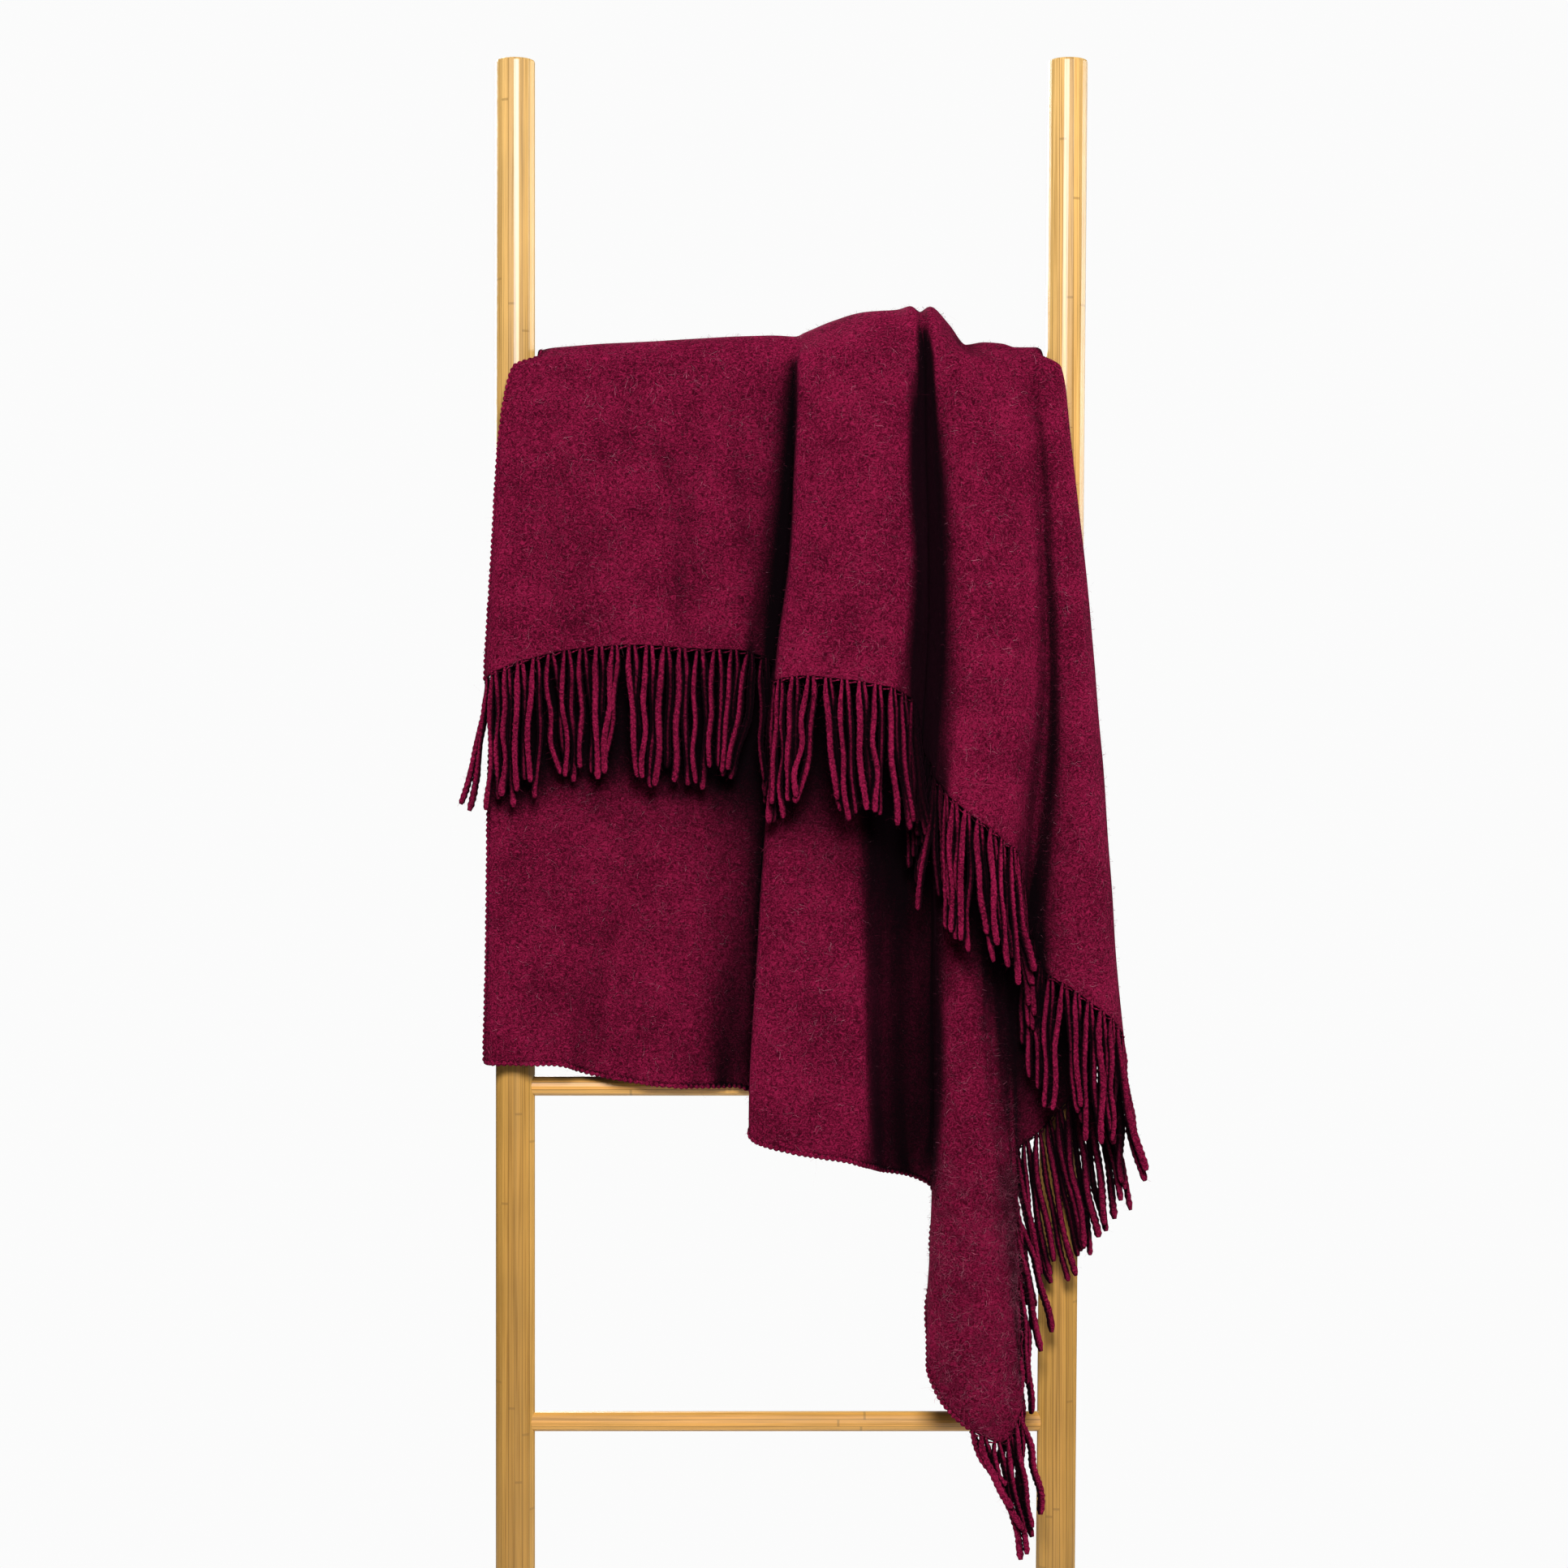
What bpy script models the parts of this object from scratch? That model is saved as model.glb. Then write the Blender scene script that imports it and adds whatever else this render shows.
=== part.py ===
"""A wool throw hung over the top rung of a bamboo ladder. Metres, +Z up, +Y away from the viewer.

The origin is on the floor between the ladder's feet. The tables are in millimetres.
"""

from collections import namedtuple
from math import cos, pi, sin

import bmesh
import bpy
import numpy as np

MM = 0.001

# The ladder
LADDER_HEIGHT = 1.694
UPRIGHT_RADIUS = 0.0165
UPRIGHT_SIDES = 24
RIM_ROUND = 0.002
LEFT_X = -0.233
RIGHT_TOP_X = 0.2347
RIGHT_FOOT_X = 0.2204
RUNG_RADIUS = 0.0085
RUNG_SIDES = 16
RUNG_HEIGHTS = (0.2565, 0.5425, 0.8265, 1.1265, 1.426)
TENON_LENGTH = 0.010
SOCKET_CLEARANCE = 0.0003

# The throw
CLOTH_THICKNESS = 0.003
CHEST_HEIGHT = 1.363
BROW_RISE = 0.005
BACK_HEM_HEIGHT = 0.985
BACK_WAVE = 0.012
BACK_SPREAD = 1.09
BACK_BULK = 1.5
BACK_CLEARANCE = 0.0225
INNER_LIFT = 0.012
LONG_SPAN = 0.020
SHARP_TURN = cos(pi / 3)
ROWS_PER_SPAN = (4, 3, 2, 2, 1, 1, 2, 2, 2)

# The fringe
SEAM_GAP = 0.0005
STRIP_HEIGHT = 0.003
STRAND_PITCH = 0.0092
BACK_STRAND_PITCH = 0.0140
STRAND_LENGTH = 0.098
STRAND_SECTIONS = 3
BACK_STRAND_SECTIONS = 2
STRAND_LEAD = 0.002
STRAND_SWAY = 0.0015
STRAND_FORWARD = 0.003
STRAND_SAMPLES = 12
STRAND_CLEARANCE = 0.0064
STEEP_FROM = 0.75
DROP_SHARE = 0.12
SMALLEST_CELL = 0.42
LANES = 5
LANE_WIDTH = 0.006

# How far the strands lean to the right at points along an edge, from 0 to 1, in metres
FRONT_LEANS = ((0.0, -0.030), (0.02, -0.008), (0.08, 0.0), (0.60, 0.0), (0.72, 0.008), (1.0, 0.004))
BACK_LEANS = ((0.0, 0.004), (0.45, 0.004), (0.5, 0.0), (1.0, 0.0))

# One row for each fold line of the sheet, from the outer layer's left edge round the right-hand
# fold to the inner layer's left edge. hem is the lower end, mid lies halfway up to the chest,
# chest is just below the rung, and lift is the height of the line over the rung's centre.
Fold = namedtuple("Fold", "name hem_x hem_y hem_z mid_x mid_y chest_x chest_y rung_x lift")

OUTER_FOLDS = (
    Fold("left edge", -256, -26, 1168, -250, -28, -244, -30, -211, 21),
    Fold("left corner", -248, -40, 1175, -242, -38, -238, -35, -204, 23),
    Fold("crest 1a", -219, -49, 1186, -214, -45, -210, -40, -183, 25),
    Fold("trough 1a", -178, -43, 1195, -180, -38, -180, -36, -158, 27),
    Fold("crest 1b", -131, -51, 1198, -133, -47, -130, -43, -115, 29),
    Fold("trough 1b", -84, -44, 1195, -85, -39, -95, -38, -80, 31),
    Fold("crest 1c", -47, -47, 1194, -45, -45, -50, -42, -46, 33),
    Fold("end of panel 1", -25, -42, 1189, -15, -39, -13, -38, -16, 34),
    Fold("valley 1 to 2", -9, -37, 1178, -1, -33, 3, -34, 3, 33),
    Fold("lip 2", -14, -70, 1167, -2, -63, 5, -56, 14, 37),
    Fold("crest 2a", 7, -92, 1171, 16, -83, 24, -71, 36, 46),
    Fold("crest 2b", 50, -98, 1167, 58, -90, 60, -79, 64, 54),
    Fold("side 2", 87, -88, 1159, 92, -82, 92, -73, 90, 56),
    Fold("return 2", 101, -66, 1148, 107, -60, 104, -53, 101, 59),
    Fold("valley 2 to 3", 110, -42, 1118, 115, -36, 113, -36, 109, 54),
    Fold("lip 3", 121, -80, 1082, 130, -78, 123, -62, 118, 58),
    Fold("crest 3a", 139, -104, 1064, 150, -94, 143, -76, 133, 43),
    Fold("crest 3b", 172, -98, 1038, 178, -88, 170, -68, 148, 26),
    Fold("side 3", 188, -79, 1022, 199, -73, 193, -54, 163, 28),
    Fold("valley 3 to 4", 197, -63, 978, 213, -58, 206, -42, 178, 27),
    Fold("rise 4", 208, -72, 930, 226, -65, 217, -46, 190, 24),
    Fold("crest 4", 231, -77, 914, 239, -66, 226, -42, 200, 24),
    Fold("side 4", 258, -70, 893, 250, -58, 231, -38, 207, 24),
    Fold("right turn", 272, -56, 880, 256, -46, 234, -32, 211, 22),
)
INNER_FOLDS = (
    Fold("right fold", 275, -45, 871, 257, -36, 234, -26, 212, 18),
    Fold("back of the fold", 265, -35, 858, 252, -29, 230, -21.5, 208, 12),
    Fold("fringed edge 1", 240, -33, 827, 236, -26, 220, -21.5, 202, 12),
    Fold("fringed edge 2", 208, -37, 793, 210, -28, 203, -21.5, 188, 12),
    Fold("top of the tail", 187, -44, 771, 184, -36, 184, -22, 176, 12),
    Fold("tail side 1", 187, -54, 715, 174, -40, 172, -22, 166, 12),
    Fold("tail side 2", 189, -64, 640, 164, -48, 163, -22, 158, 12),
    Fold("tail side 3", 190, -72, 572, 156, -54, 155, -23, 150, 12),
    Fold("tail tip", 174, -82, 541, 151, -57, 147, -24, 142, 12),
    Fold("tail crest", 147, -88, 553, 143, -58, 139, -24, 134, 12),
    Fold("tail left", 120, -80, 581, 135, -54, 130, -24, 126, 12),
    Fold("tail lip", 112, -62, 616, 128, -46, 122, -23, 118, 12),
    Fold("tail return", 121, -32, 742, 121, -22, 113, -20, 108, 12),
    Fold("valley B to tail", 100, -20.5, 754, 103, -16, 96, -17, 94, 12),
    Fold("side B", 76, -38, 760, 79, -27, 78, -20, 78, 12),
    Fold("crest Bb", 53, -76, 770, 55, -42, 52, -23, 50, 12),
    Fold("crest Ba", -3, -80, 780, 6, -42, 18, -23, 20, 12),
    Fold("lip B", -34, -62, 791, -19, -31, -2, -21.5, -4, 12),
    Fold("return B", -22, -24, 812, -14, -17, -16, -18, -18, 12),
    Fold("valley A to B", -46, -14.5, 828, -38, -14.5, -42, -18, -42, 12),
    Fold("crest A right", -88, -22, 828, -82, -19, -86, -20, -84, 12),
    Fold("trough A", -163, -20, 838, -152, -18, -150, -20, -146, 12),
    Fold("crest A left", -200, -32, 848, -196, -27, -193, -22, -182, 12),
    Fold("corner A", -245, -29, 848, -242, -25, -230, -21.5, -203, 12),
    Fold("side A", -257, -18, 848, -252, -20, -238, -21, -208, 12),
)
FOLDS = OUTER_FOLDS + INNER_FOLDS
FRINGE_END = "tail crest"


def clear_scene():
    for item in list(bpy.data.objects):
        bpy.data.objects.remove(item, do_unlink=True)


def material(name, colour, roughness):
    made = bpy.data.materials.new(name)
    made.use_nodes = True
    shader = made.node_tree.nodes["Principled BSDF"]
    shader.inputs["Base Color"].default_value = (*colour, 1.0)
    shader.inputs["Roughness"].default_value = roughness
    shader.inputs["Metallic"].default_value = 0.0
    return made


def add_object(name, bm, finish):
    bmesh.ops.recalc_face_normals(bm, faces=bm.faces)
    mesh = bpy.data.meshes.new(name)
    bm.to_mesh(mesh)
    bm.free()
    mesh.materials.append(finish)
    made = bpy.data.objects.new(name, mesh)
    bpy.context.scene.collection.objects.link(made)
    return made


def smooth_through(knots, values, at):
    """A curve through the values that rises and falls only where they do."""
    knots = np.asarray(knots, float)
    values = np.asarray(values, float)
    gaps = np.diff(knots)
    slopes = np.diff(values, axis=0) / gaps[:, None]
    before, after = slopes[:-1], slopes[1:]
    turning = before * after <= 0
    total = np.where(turning, 1.0, before + after)
    inner = np.where(turning, 0.0, 2 * before * after / total)
    tangents = np.vstack([slopes[:1], inner, slopes[-1:]])
    span = np.clip(np.searchsorted(knots, at, side="right") - 1, 0, len(gaps) - 1)
    step = gaps[span][:, None]
    t = (np.asarray(at) - knots[span])[:, None] / step
    start, end = values[span], values[span + 1]
    leave, arrive = tangents[span] * step, tangents[span + 1] * step
    return (
        (2 * t**3 - 3 * t**2 + 1) * start
        + (t**3 - 2 * t**2 + t) * leave
        + (3 * t**2 - 2 * t**3) * end
        + (t**3 - t**2) * arrive
    )


def upright_x(side, z):
    """The right-hand upright leans in a little towards its foot."""
    if side == "left":
        return LEFT_X
    return RIGHT_FOOT_X + (RIGHT_TOP_X - RIGHT_FOOT_X) * z / LADDER_HEIGHT


def add_upright(side, finish):
    bm = bmesh.new()
    rim_inset = RIM_ROUND * (1 - sin(pi / 4))
    levels = (
        (0.0, UPRIGHT_RADIUS),
        (LADDER_HEIGHT - RIM_ROUND, UPRIGHT_RADIUS),
        (LADDER_HEIGHT - rim_inset, UPRIGHT_RADIUS - rim_inset),
        (LADDER_HEIGHT, UPRIGHT_RADIUS - RIM_ROUND),
    )
    rings = []
    for z, radius in levels:
        angles = [2 * pi * k / UPRIGHT_SIDES for k in range(UPRIGHT_SIDES)]
        rings.append([
            bm.verts.new((upright_x(side, z) + radius * cos(a), radius * sin(a), z)) for a in angles
        ])
    for low, high in zip(rings, rings[1:]):
        for k in range(UPRIGHT_SIDES):
            n = (k + 1) % UPRIGHT_SIDES
            bm.faces.new((low[k], low[n], high[n], high[k]))
    bm.faces.new(rings[0])
    bm.faces.new(rings[-1])
    post = add_object(f"upright_{side}", bm, finish)
    post.data.shade_smooth()
    post.data.set_sharp_from_angle(angle=pi / 5)
    for number, height in enumerate(RUNG_HEIGHTS, start=1):
        cutter = add_socket_cutter(side, number, height, finish)
        cut = post.modifiers.new(cutter.name, "BOOLEAN")
        cut.operation = "DIFFERENCE"
        cut.object = cutter


def rung_end(side, z):
    """Where a rung ends, inside its socket."""
    inward = 1 if side == "left" else -1
    return upright_x(side, z) + inward * (UPRIGHT_RADIUS - TENON_LENGTH)


def add_rod(name, start, end, z, radius, finish):
    bm = bmesh.new()
    rings = []
    for x in (start, end):
        angles = [2 * pi * k / RUNG_SIDES for k in range(RUNG_SIDES)]
        rings.append([bm.verts.new((x, radius * cos(a), z + radius * sin(a))) for a in angles])
    for k in range(RUNG_SIDES):
        n = (k + 1) % RUNG_SIDES
        bm.faces.new((rings[0][k], rings[0][n], rings[1][n], rings[1][k]))
    bm.faces.new(rings[0])
    bm.faces.new(rings[1])
    rod = add_object(name, bm, finish)
    rod.data.shade_smooth()
    rod.data.set_sharp_from_angle(angle=pi / 5)
    return rod


def add_socket_cutter(side, number, z, finish):
    outward = -1 if side == "left" else 1
    bottom = rung_end(side, z) + outward * SOCKET_CLEARANCE
    mouth = upright_x(side, z) - outward * 2 * UPRIGHT_RADIUS
    name = f"socket_{side}_{number}"
    cutter = add_rod(name, bottom, mouth, z, RUNG_RADIUS + SOCKET_CLEARANCE, finish)
    cutter.hide_render = True
    cutter.display_type = "WIRE"
    return cutter


def add_rungs(finish):
    for number, z in enumerate(RUNG_HEIGHTS, start=1):
        add_rod(f"rung_{number}", rung_end("left", z), rung_end("right", z), z, RUNG_RADIUS, finish)


def line_down_a_fold(fold, share):
    """The points that one fold line passes through, from its front hem over the rung to the back.

    share runs from 0 to 1 across the sheet and sets the back hem's gentle wave.
    """
    rung_z = RUNG_HEIGHTS[-1]
    hem = np.array([fold.hem_x, fold.hem_y, fold.hem_z]) * MM
    chest = np.array([fold.chest_x * MM, fold.chest_y * MM, CHEST_HEIGHT])
    mid = np.array([fold.mid_x * MM, fold.mid_y * MM, (hem[2] + CHEST_HEIGHT) / 2])
    rung_x, lift = fold.rung_x * MM, fold.lift * MM
    brow_x = chest[0] + 0.36 * (rung_x - chest[0])
    brow_y = min(0.45 * chest[1] - 0.6 * lift, 0.55 * chest[1] - 0.0105)
    brow = (brow_x, brow_y, rung_z + BROW_RISE * lift / INNER_LIFT / 2)
    front_turn = (rung_x, -0.72 * lift, rung_z + 0.72 * lift)
    crest = (rung_x, 0.0, rung_z + lift)
    back_turn = (rung_x, 0.72 * lift, rung_z + 0.72 * lift)
    back_y = BACK_CLEARANCE + BACK_BULK * (lift - INNER_LIFT)
    back_brow = (rung_x * (1 + BACK_SPREAD) / 2, back_y * 0.96, rung_z - 0.012)
    back_x = rung_x * BACK_SPREAD
    wave = BACK_WAVE * sin(5 * pi * share)
    back_mid = (back_x, back_y, (rung_z + BACK_HEM_HEIGHT) / 2)
    back_hem = (back_x, back_y * 1.06, BACK_HEM_HEIGHT + wave)
    return [hem, mid, chest, brow, front_turn, crest, back_turn, back_brow, back_mid, back_hem]


def sheet_grid():
    """Points of the sheet's middle surface, a row of points for each line down the cloth."""
    shares = np.linspace(0, 1, len(FOLDS))
    lines = np.array([line_down_a_fold(fold, s) for fold, s in zip(FOLDS, shares)])
    spacing = np.linalg.norm(np.diff(lines, axis=0), axis=2)
    widths = spacing[:, :3].mean(axis=1)
    knots = np.concatenate([[0.0], np.cumsum(np.sqrt(widths))])
    ahead = np.diff(lines[:, 0, :2], axis=0)
    ahead /= np.linalg.norm(ahead, axis=1, keepdims=True)
    straight = np.concatenate([[1.0], (ahead[:-1] * ahead[1:]).sum(axis=1), [1.0]])
    at, is_fold = [], []
    for k, width in enumerate(widths):
        sharp = min(straight[k], straight[k + 1]) < SHARP_TURN
        pieces = 1 + int(width > LONG_SPAN) + int(sharp)
        for piece in range(pieces):
            at.append(knots[k] + (knots[k + 1] - knots[k]) * piece / pieces)
            is_fold.append(k if piece == 0 else None)
    at.append(knots[-1])
    is_fold.append(len(FOLDS) - 1)
    flat = lines.reshape(len(FOLDS), -1)
    columns = smooth_through(knots, flat, np.array(at)).reshape(len(at), -1, 3)
    down = []
    for span, rows in enumerate(ROWS_PER_SPAN):
        down.extend(span + row / rows for row in range(rows))
    down.append(len(ROWS_PER_SPAN))
    steps = np.linalg.norm(np.diff(columns, axis=1), axis=2).mean(axis=0)
    lengths = np.concatenate([[0.0], np.cumsum(steps)])
    at_lengths = np.interp(down, range(len(lengths)), lengths)
    grid = np.array([smooth_through(lengths, column, at_lengths) for column in columns])
    last = is_fold.index([fold.name for fold in FOLDS].index(FRINGE_END))
    return grid, last


def grid_normals(grid):
    across = np.gradient(grid, axis=0)
    along = np.gradient(grid, axis=1)
    normals = np.cross(across, along)
    return normals / np.linalg.norm(normals, axis=2, keepdims=True)


def add_sheet(name, grid, finish):
    """A closed sheet of the cloth's thickness around a grid of middle points."""
    offset = grid_normals(grid) * CLOTH_THICKNESS / 2
    bm = bmesh.new()
    columns, rows = grid.shape[:2]
    sides = []
    for points in (grid + offset, grid - offset):
        sides.append([[bm.verts.new(points[i, j]) for j in range(rows)] for i in range(columns)])
    for side in sides:
        for i in range(columns - 1):
            for j in range(rows - 1):
                bm.faces.new((side[i][j], side[i + 1][j], side[i + 1][j + 1], side[i][j + 1]))
    top, bottom = sides
    for i in range(columns - 1):
        for j in (0, rows - 1):
            bm.faces.new((top[i][j], top[i + 1][j], bottom[i + 1][j], bottom[i][j]))
    for j in range(rows - 1):
        for i in (0, columns - 1):
            bm.faces.new((top[i][j], top[i][j + 1], bottom[i][j + 1], bottom[i][j]))
    made = add_object(name, bm, finish)
    made.data.shade_smooth()
    return made


def strand_path(root, outward, steepness, number, lean, sections):
    """The middle line of one strand: it leaves the strip outwards and soon hangs straight down.

    Where the edge itself runs down, neighbours would hang in one line, so they leave by turns
    in lanes of their own.
    """
    reach = STRAND_LENGTH * (0.94 + 0.06 * sin(2.4 * number))
    lane = steepness * LANE_WIDTH * (1 + number * 2 % LANES)
    sway = lean + STRAND_SWAY * sin(1.7 * number)
    points = [root]
    for section in range(1, sections + 1):
        q = section / sections
        lead = (STRAND_LEAD + lane) * (1 - (1 - q) ** 2)
        drop = reach * q * (1 - 0.3 * steepness * (1 - q))
        step = outward * lead + np.array([sway * q**1.5, -STRAND_FORWARD * q, -drop])
        points.append(root + step)
    return np.array(points)


def points_along(path):
    steps = np.linspace(0, len(path) - 1, STRAND_SAMPLES)
    return np.array([np.interp(steps, range(len(path)), axis) for axis in path.T]).T


def is_clear(path, placed):
    """Whether a strand would hang free of those already there."""
    if not placed:
        return True
    others = np.vstack([points_along(other) for other in placed])
    gaps = np.linalg.norm(points_along(path)[:, None] - others[None], axis=2)
    return gaps.min() > STRAND_CLEARANCE


def add_strand(bm, mouth, path, facing, width):
    """A four-sided strand drawn from one open cell of the strip along its path."""
    rings = [mouth]
    for k in range(1, len(path)):
        ahead = path[min(k + 1, len(path) - 1)] - path[k - 1]
        ahead /= np.linalg.norm(ahead)
        front = facing - ahead * facing.dot(ahead)
        front /= np.linalg.norm(front)
        side = np.cross(ahead, front)
        if side.dot(np.array(mouth[1].co) - np.array(mouth[0].co)) < 0:
            side = -side
        front = front * CLOTH_THICKNESS / 2
        side = side * width / 2
        corners = (front - side, front + side, -front + side, -front - side)
        rings.append([bm.verts.new(path[k] + corner) for corner in corners])
    for high, low in zip(rings, rings[1:]):
        for a in range(4):
            b = (a + 1) % 4
            bm.faces.new((high[a], high[b], low[b], low[a]))
    bm.faces.new(rings[-1])


def away_from_cloth(edge, facing):
    """The direction square to an edge in the cloth's own plane, and how steeply the edge runs down."""
    tangent = np.gradient(edge, axis=0)
    tangent /= np.linalg.norm(tangent, axis=1, keepdims=True)
    square = np.cross(tangent, facing)
    square /= np.linalg.norm(square, axis=1, keepdims=True)
    if square[0][2] > 0:
        square = -square
    steepness = np.clip((np.abs(tangent[:, 2:]) - STEEP_FROM) / (1 - STEEP_FROM), 0, 1)
    return square, steepness


def add_fringe(name, edge, facing, pitch, sections, leans, finish):
    """A narrow strip along an edge of the cloth, with strands drawn out of every second cell.

    The strip's top follows the cloth's edge from point to point. Its cells are spaced mostly by
    how far the edge goes sideways, so strands don't crowd where the edge drops.
    """
    outward, steepness = away_from_cloth(edge, facing)
    steps = np.diff(edge, axis=0)
    spacing = np.hypot(steps[:, 0], steps[:, 1]) + DROP_SHARE * np.abs(steps[:, 2])
    lengths = np.concatenate([[0.0], np.cumsum(spacing)])
    at = [0.0]
    for corner in lengths[1:]:
        gap = corner - at[-1]
        if gap < SMALLEST_CELL * pitch:
            continue
        cells = max(1, round(gap / pitch * 2))
        at.extend(np.linspace(at[-1], corner, cells + 1)[1:])
    at = np.array(at[: len(at) - 1 + len(at) % 2])
    bands = np.hstack([edge, facing * CLOTH_THICKNESS / 2, outward, steepness])
    bands = np.array([np.interp(at, lengths, band) for band in bands.T]).T
    line, half, outward, steepness = bands[:, :3], bands[:, 3:6], bands[:, 6:9], bands[:, 9]
    lean_at, lean_by = zip(*leans)
    bm = bmesh.new()
    placed = []
    corners = []
    for drop in (SEAM_GAP, SEAM_GAP + STRIP_HEIGHT):
        for sign in (1, -1):
            corners.append([bm.verts.new(point) for point in line + outward * drop + half * sign])
    top_front, top_back, low_front, low_back = corners
    for i in range(len(at) - 1):
        n = i + 1
        bm.faces.new((top_front[i], top_front[n], low_front[n], low_front[i]))
        bm.faces.new((top_back[i], top_back[n], low_back[n], low_back[i]))
        bm.faces.new((top_front[i], top_front[n], top_back[n], top_back[i]))
        mouth = (low_front[i], low_front[n], low_back[n], low_back[i])
        away = outward[i] + outward[n]
        away /= np.linalg.norm(away)
        root = (line[i] + line[n]) / 2 + away * (SEAM_GAP + STRIP_HEIGHT)
        lean = float(np.interp(i / len(at), lean_at, lean_by))
        path = strand_path(root, away, steepness[i], i // 2, lean, sections)
        if i % 2 == 0 or not is_clear(path, placed):
            bm.faces.new(mouth)
            continue
        placed.append(path)
        width = min(pitch / 2, np.linalg.norm(line[n] - line[i]))
        add_strand(bm, mouth, path, half[i] / np.linalg.norm(half[i]), width)
    for end in (0, -1):
        bm.faces.new((top_front[end], top_back[end], low_back[end], low_front[end]))
    made = add_object(name, bm, finish)
    made.data.shade_smooth()
    return made


def build():
    clear_scene()
    bamboo = material("bamboo", (0.67, 0.41, 0.12), 0.45)
    wool = material("wool", (0.195, 0.006, 0.040), 0.9)
    add_upright("left", bamboo)
    add_upright("right", bamboo)
    add_rungs(bamboo)
    grid, fringe_last = sheet_grid()
    normals = grid_normals(grid)
    add_sheet("throw_cloth", grid, wool)
    front = slice(0, fringe_last + 1)
    front_edge, front_normals = grid[front, 0], normals[front, 0]
    add_fringe(
        "fringe_front", front_edge, front_normals, STRAND_PITCH, STRAND_SECTIONS, FRONT_LEANS, wool
    )
    back_edge, back_normals = grid[:, -1], normals[:, -1]
    add_fringe(
        "fringe_back", back_edge, back_normals, BACK_STRAND_PITCH, BACK_STRAND_SECTIONS, BACK_LEANS, wool
    )


build()
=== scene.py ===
"""How a wine-red wool throw on a bamboo ladder looks. Metres, +Z up, the viewer stands at -Y."""

from collections import namedtuple
from math import cos, pi, radians, sin
from random import Random

import bpy
import numpy as np
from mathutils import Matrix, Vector, noise
from mathutils.bvhtree import BVHTree


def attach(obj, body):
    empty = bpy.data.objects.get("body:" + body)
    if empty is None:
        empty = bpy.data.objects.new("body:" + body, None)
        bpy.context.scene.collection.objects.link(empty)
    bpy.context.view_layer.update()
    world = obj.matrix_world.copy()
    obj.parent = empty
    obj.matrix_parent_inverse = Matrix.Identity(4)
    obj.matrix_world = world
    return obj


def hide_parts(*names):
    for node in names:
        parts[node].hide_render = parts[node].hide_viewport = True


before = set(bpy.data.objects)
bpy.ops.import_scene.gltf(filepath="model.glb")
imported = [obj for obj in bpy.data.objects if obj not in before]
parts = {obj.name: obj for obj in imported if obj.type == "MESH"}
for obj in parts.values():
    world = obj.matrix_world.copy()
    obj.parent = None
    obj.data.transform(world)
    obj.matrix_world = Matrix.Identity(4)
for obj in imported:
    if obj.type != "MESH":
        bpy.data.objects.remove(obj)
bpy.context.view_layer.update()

# The two uprights and five rungs
# Rods of laminated bamboo: strips about 6 mm wide glued side by side and turned round, so the
# glue lines run along the rod and each strip has its own tone and its own dark growth nodes.
# The rungs sit in blind sockets. A thin satin varnish shows the grain.
STRIP_WIDTH = 0.0058
STRIP_DEPTH = 0.021
SEAM_SHARE = 0.045
SEAM_BROWN = (0.22, 0.12, 0.03, 1)
NODE_SPACING = 0.31
NODE_SHARE = 0.0032
NODE_BROWN = (0.30, 0.17, 0.05, 1)
LADDER_HEIGHT = 1.694


def add_node(tree, kind, values=None, **settings):
    """A shader node with its settings and its inputs, each a value or the socket that feeds it."""
    made = tree.nodes.new(kind)
    for name, value in settings.items():
        setattr(made, name, value)
    for socket, value in (values or {}).items():
        if isinstance(value, bpy.types.NodeSocket):
            tree.links.new(value, made.inputs[socket])
        else:
            made.inputs[socket].default_value = value
    return made


def calculate(tree, operation, *values):
    """A maths node on the values."""
    return add_node(tree, "ShaderNodeMath", dict(enumerate(values)), operation=operation).outputs[0]


def blend_colours(tree, share, first, second, how="MIX"):
    """The first colour with that share of the second blended in."""
    made = add_node(tree, "ShaderNodeMix", data_type="RGBA", blend_type=how)
    for number, value in ((0, share), (6, first), (7, second)):
        if isinstance(value, bpy.types.NodeSocket):
            tree.links.new(value, made.inputs[number])
        else:
            made.inputs[number].default_value = value
    return made.outputs[2]


def ramp(tree, value, *stops):
    """A colour ramp through (position, colour) stops."""
    made = add_node(tree, "ShaderNodeValToRGB", {"Fac": value})
    points = made.color_ramp.elements
    while len(points) < len(stops):
        points.new(0.5)
    for point, (position, colour) in zip(points, stops):
        point.position = position
        point.color = (*colour, 1.0)
    return made.outputs["Color"]


def new_material(name):
    """A material, its node tree and its surface shader."""
    made = bpy.data.materials.new(name)
    made.use_nodes = True
    return made, made.node_tree, made.node_tree.nodes["Principled BSDF"]


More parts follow.
